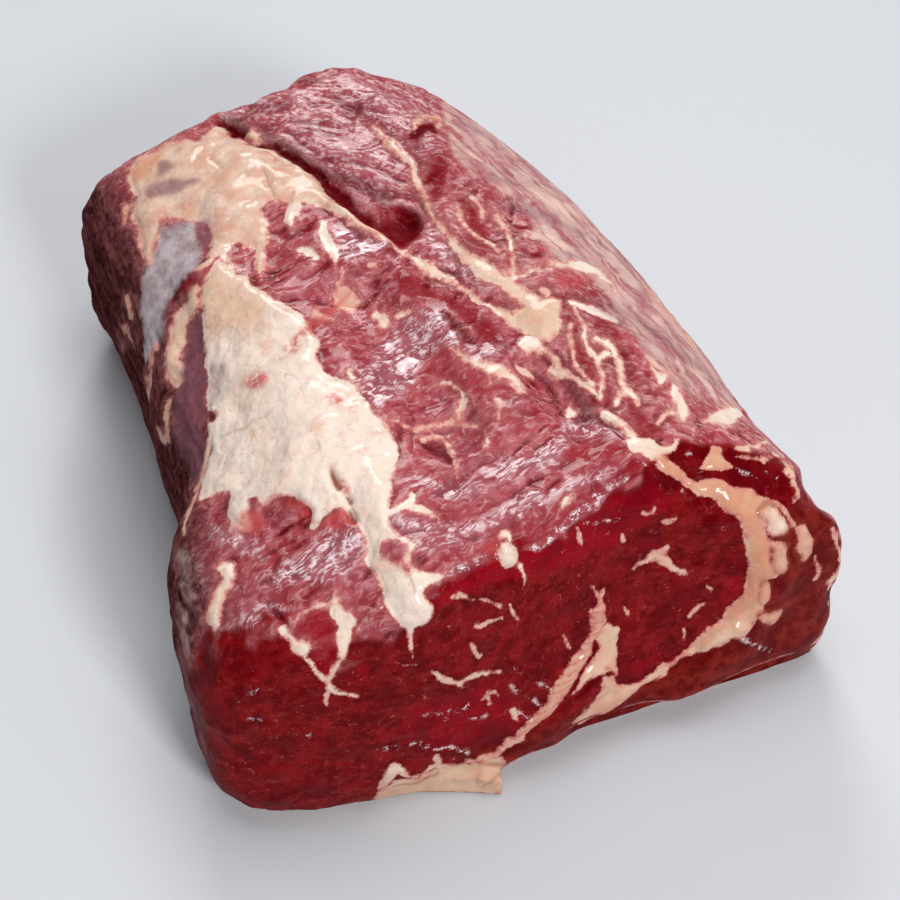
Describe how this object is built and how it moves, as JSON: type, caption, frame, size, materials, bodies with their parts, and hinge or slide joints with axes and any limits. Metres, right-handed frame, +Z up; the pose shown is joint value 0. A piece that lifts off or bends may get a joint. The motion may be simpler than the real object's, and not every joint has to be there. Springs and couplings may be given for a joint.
{
  "type": "raw beef rib roast",
  "caption": "Boneless raw beef rib-eye roast, a thick block of marbled muscle lying flat, with a cut face in front, an open seam and a fat plateau on top, and a strip of back fat under the face.",
  "frame": {"origin": "middle of the bounding box's base, on the surface that the roast lies on", "axes": "+Z up; +Y along the muscle from the cut face to the far end, the longest side; +X to the right when looking at the cut face"},
  "size_m": [0.1972, 0.24, 0.097],
  "materials": {
    "meat": "raw muscle, dark red and moist, with cream fat seams and marbling"
  },
  "bodies": {
    "root": {"roast": "meat"}
  },
  "joints": []
}
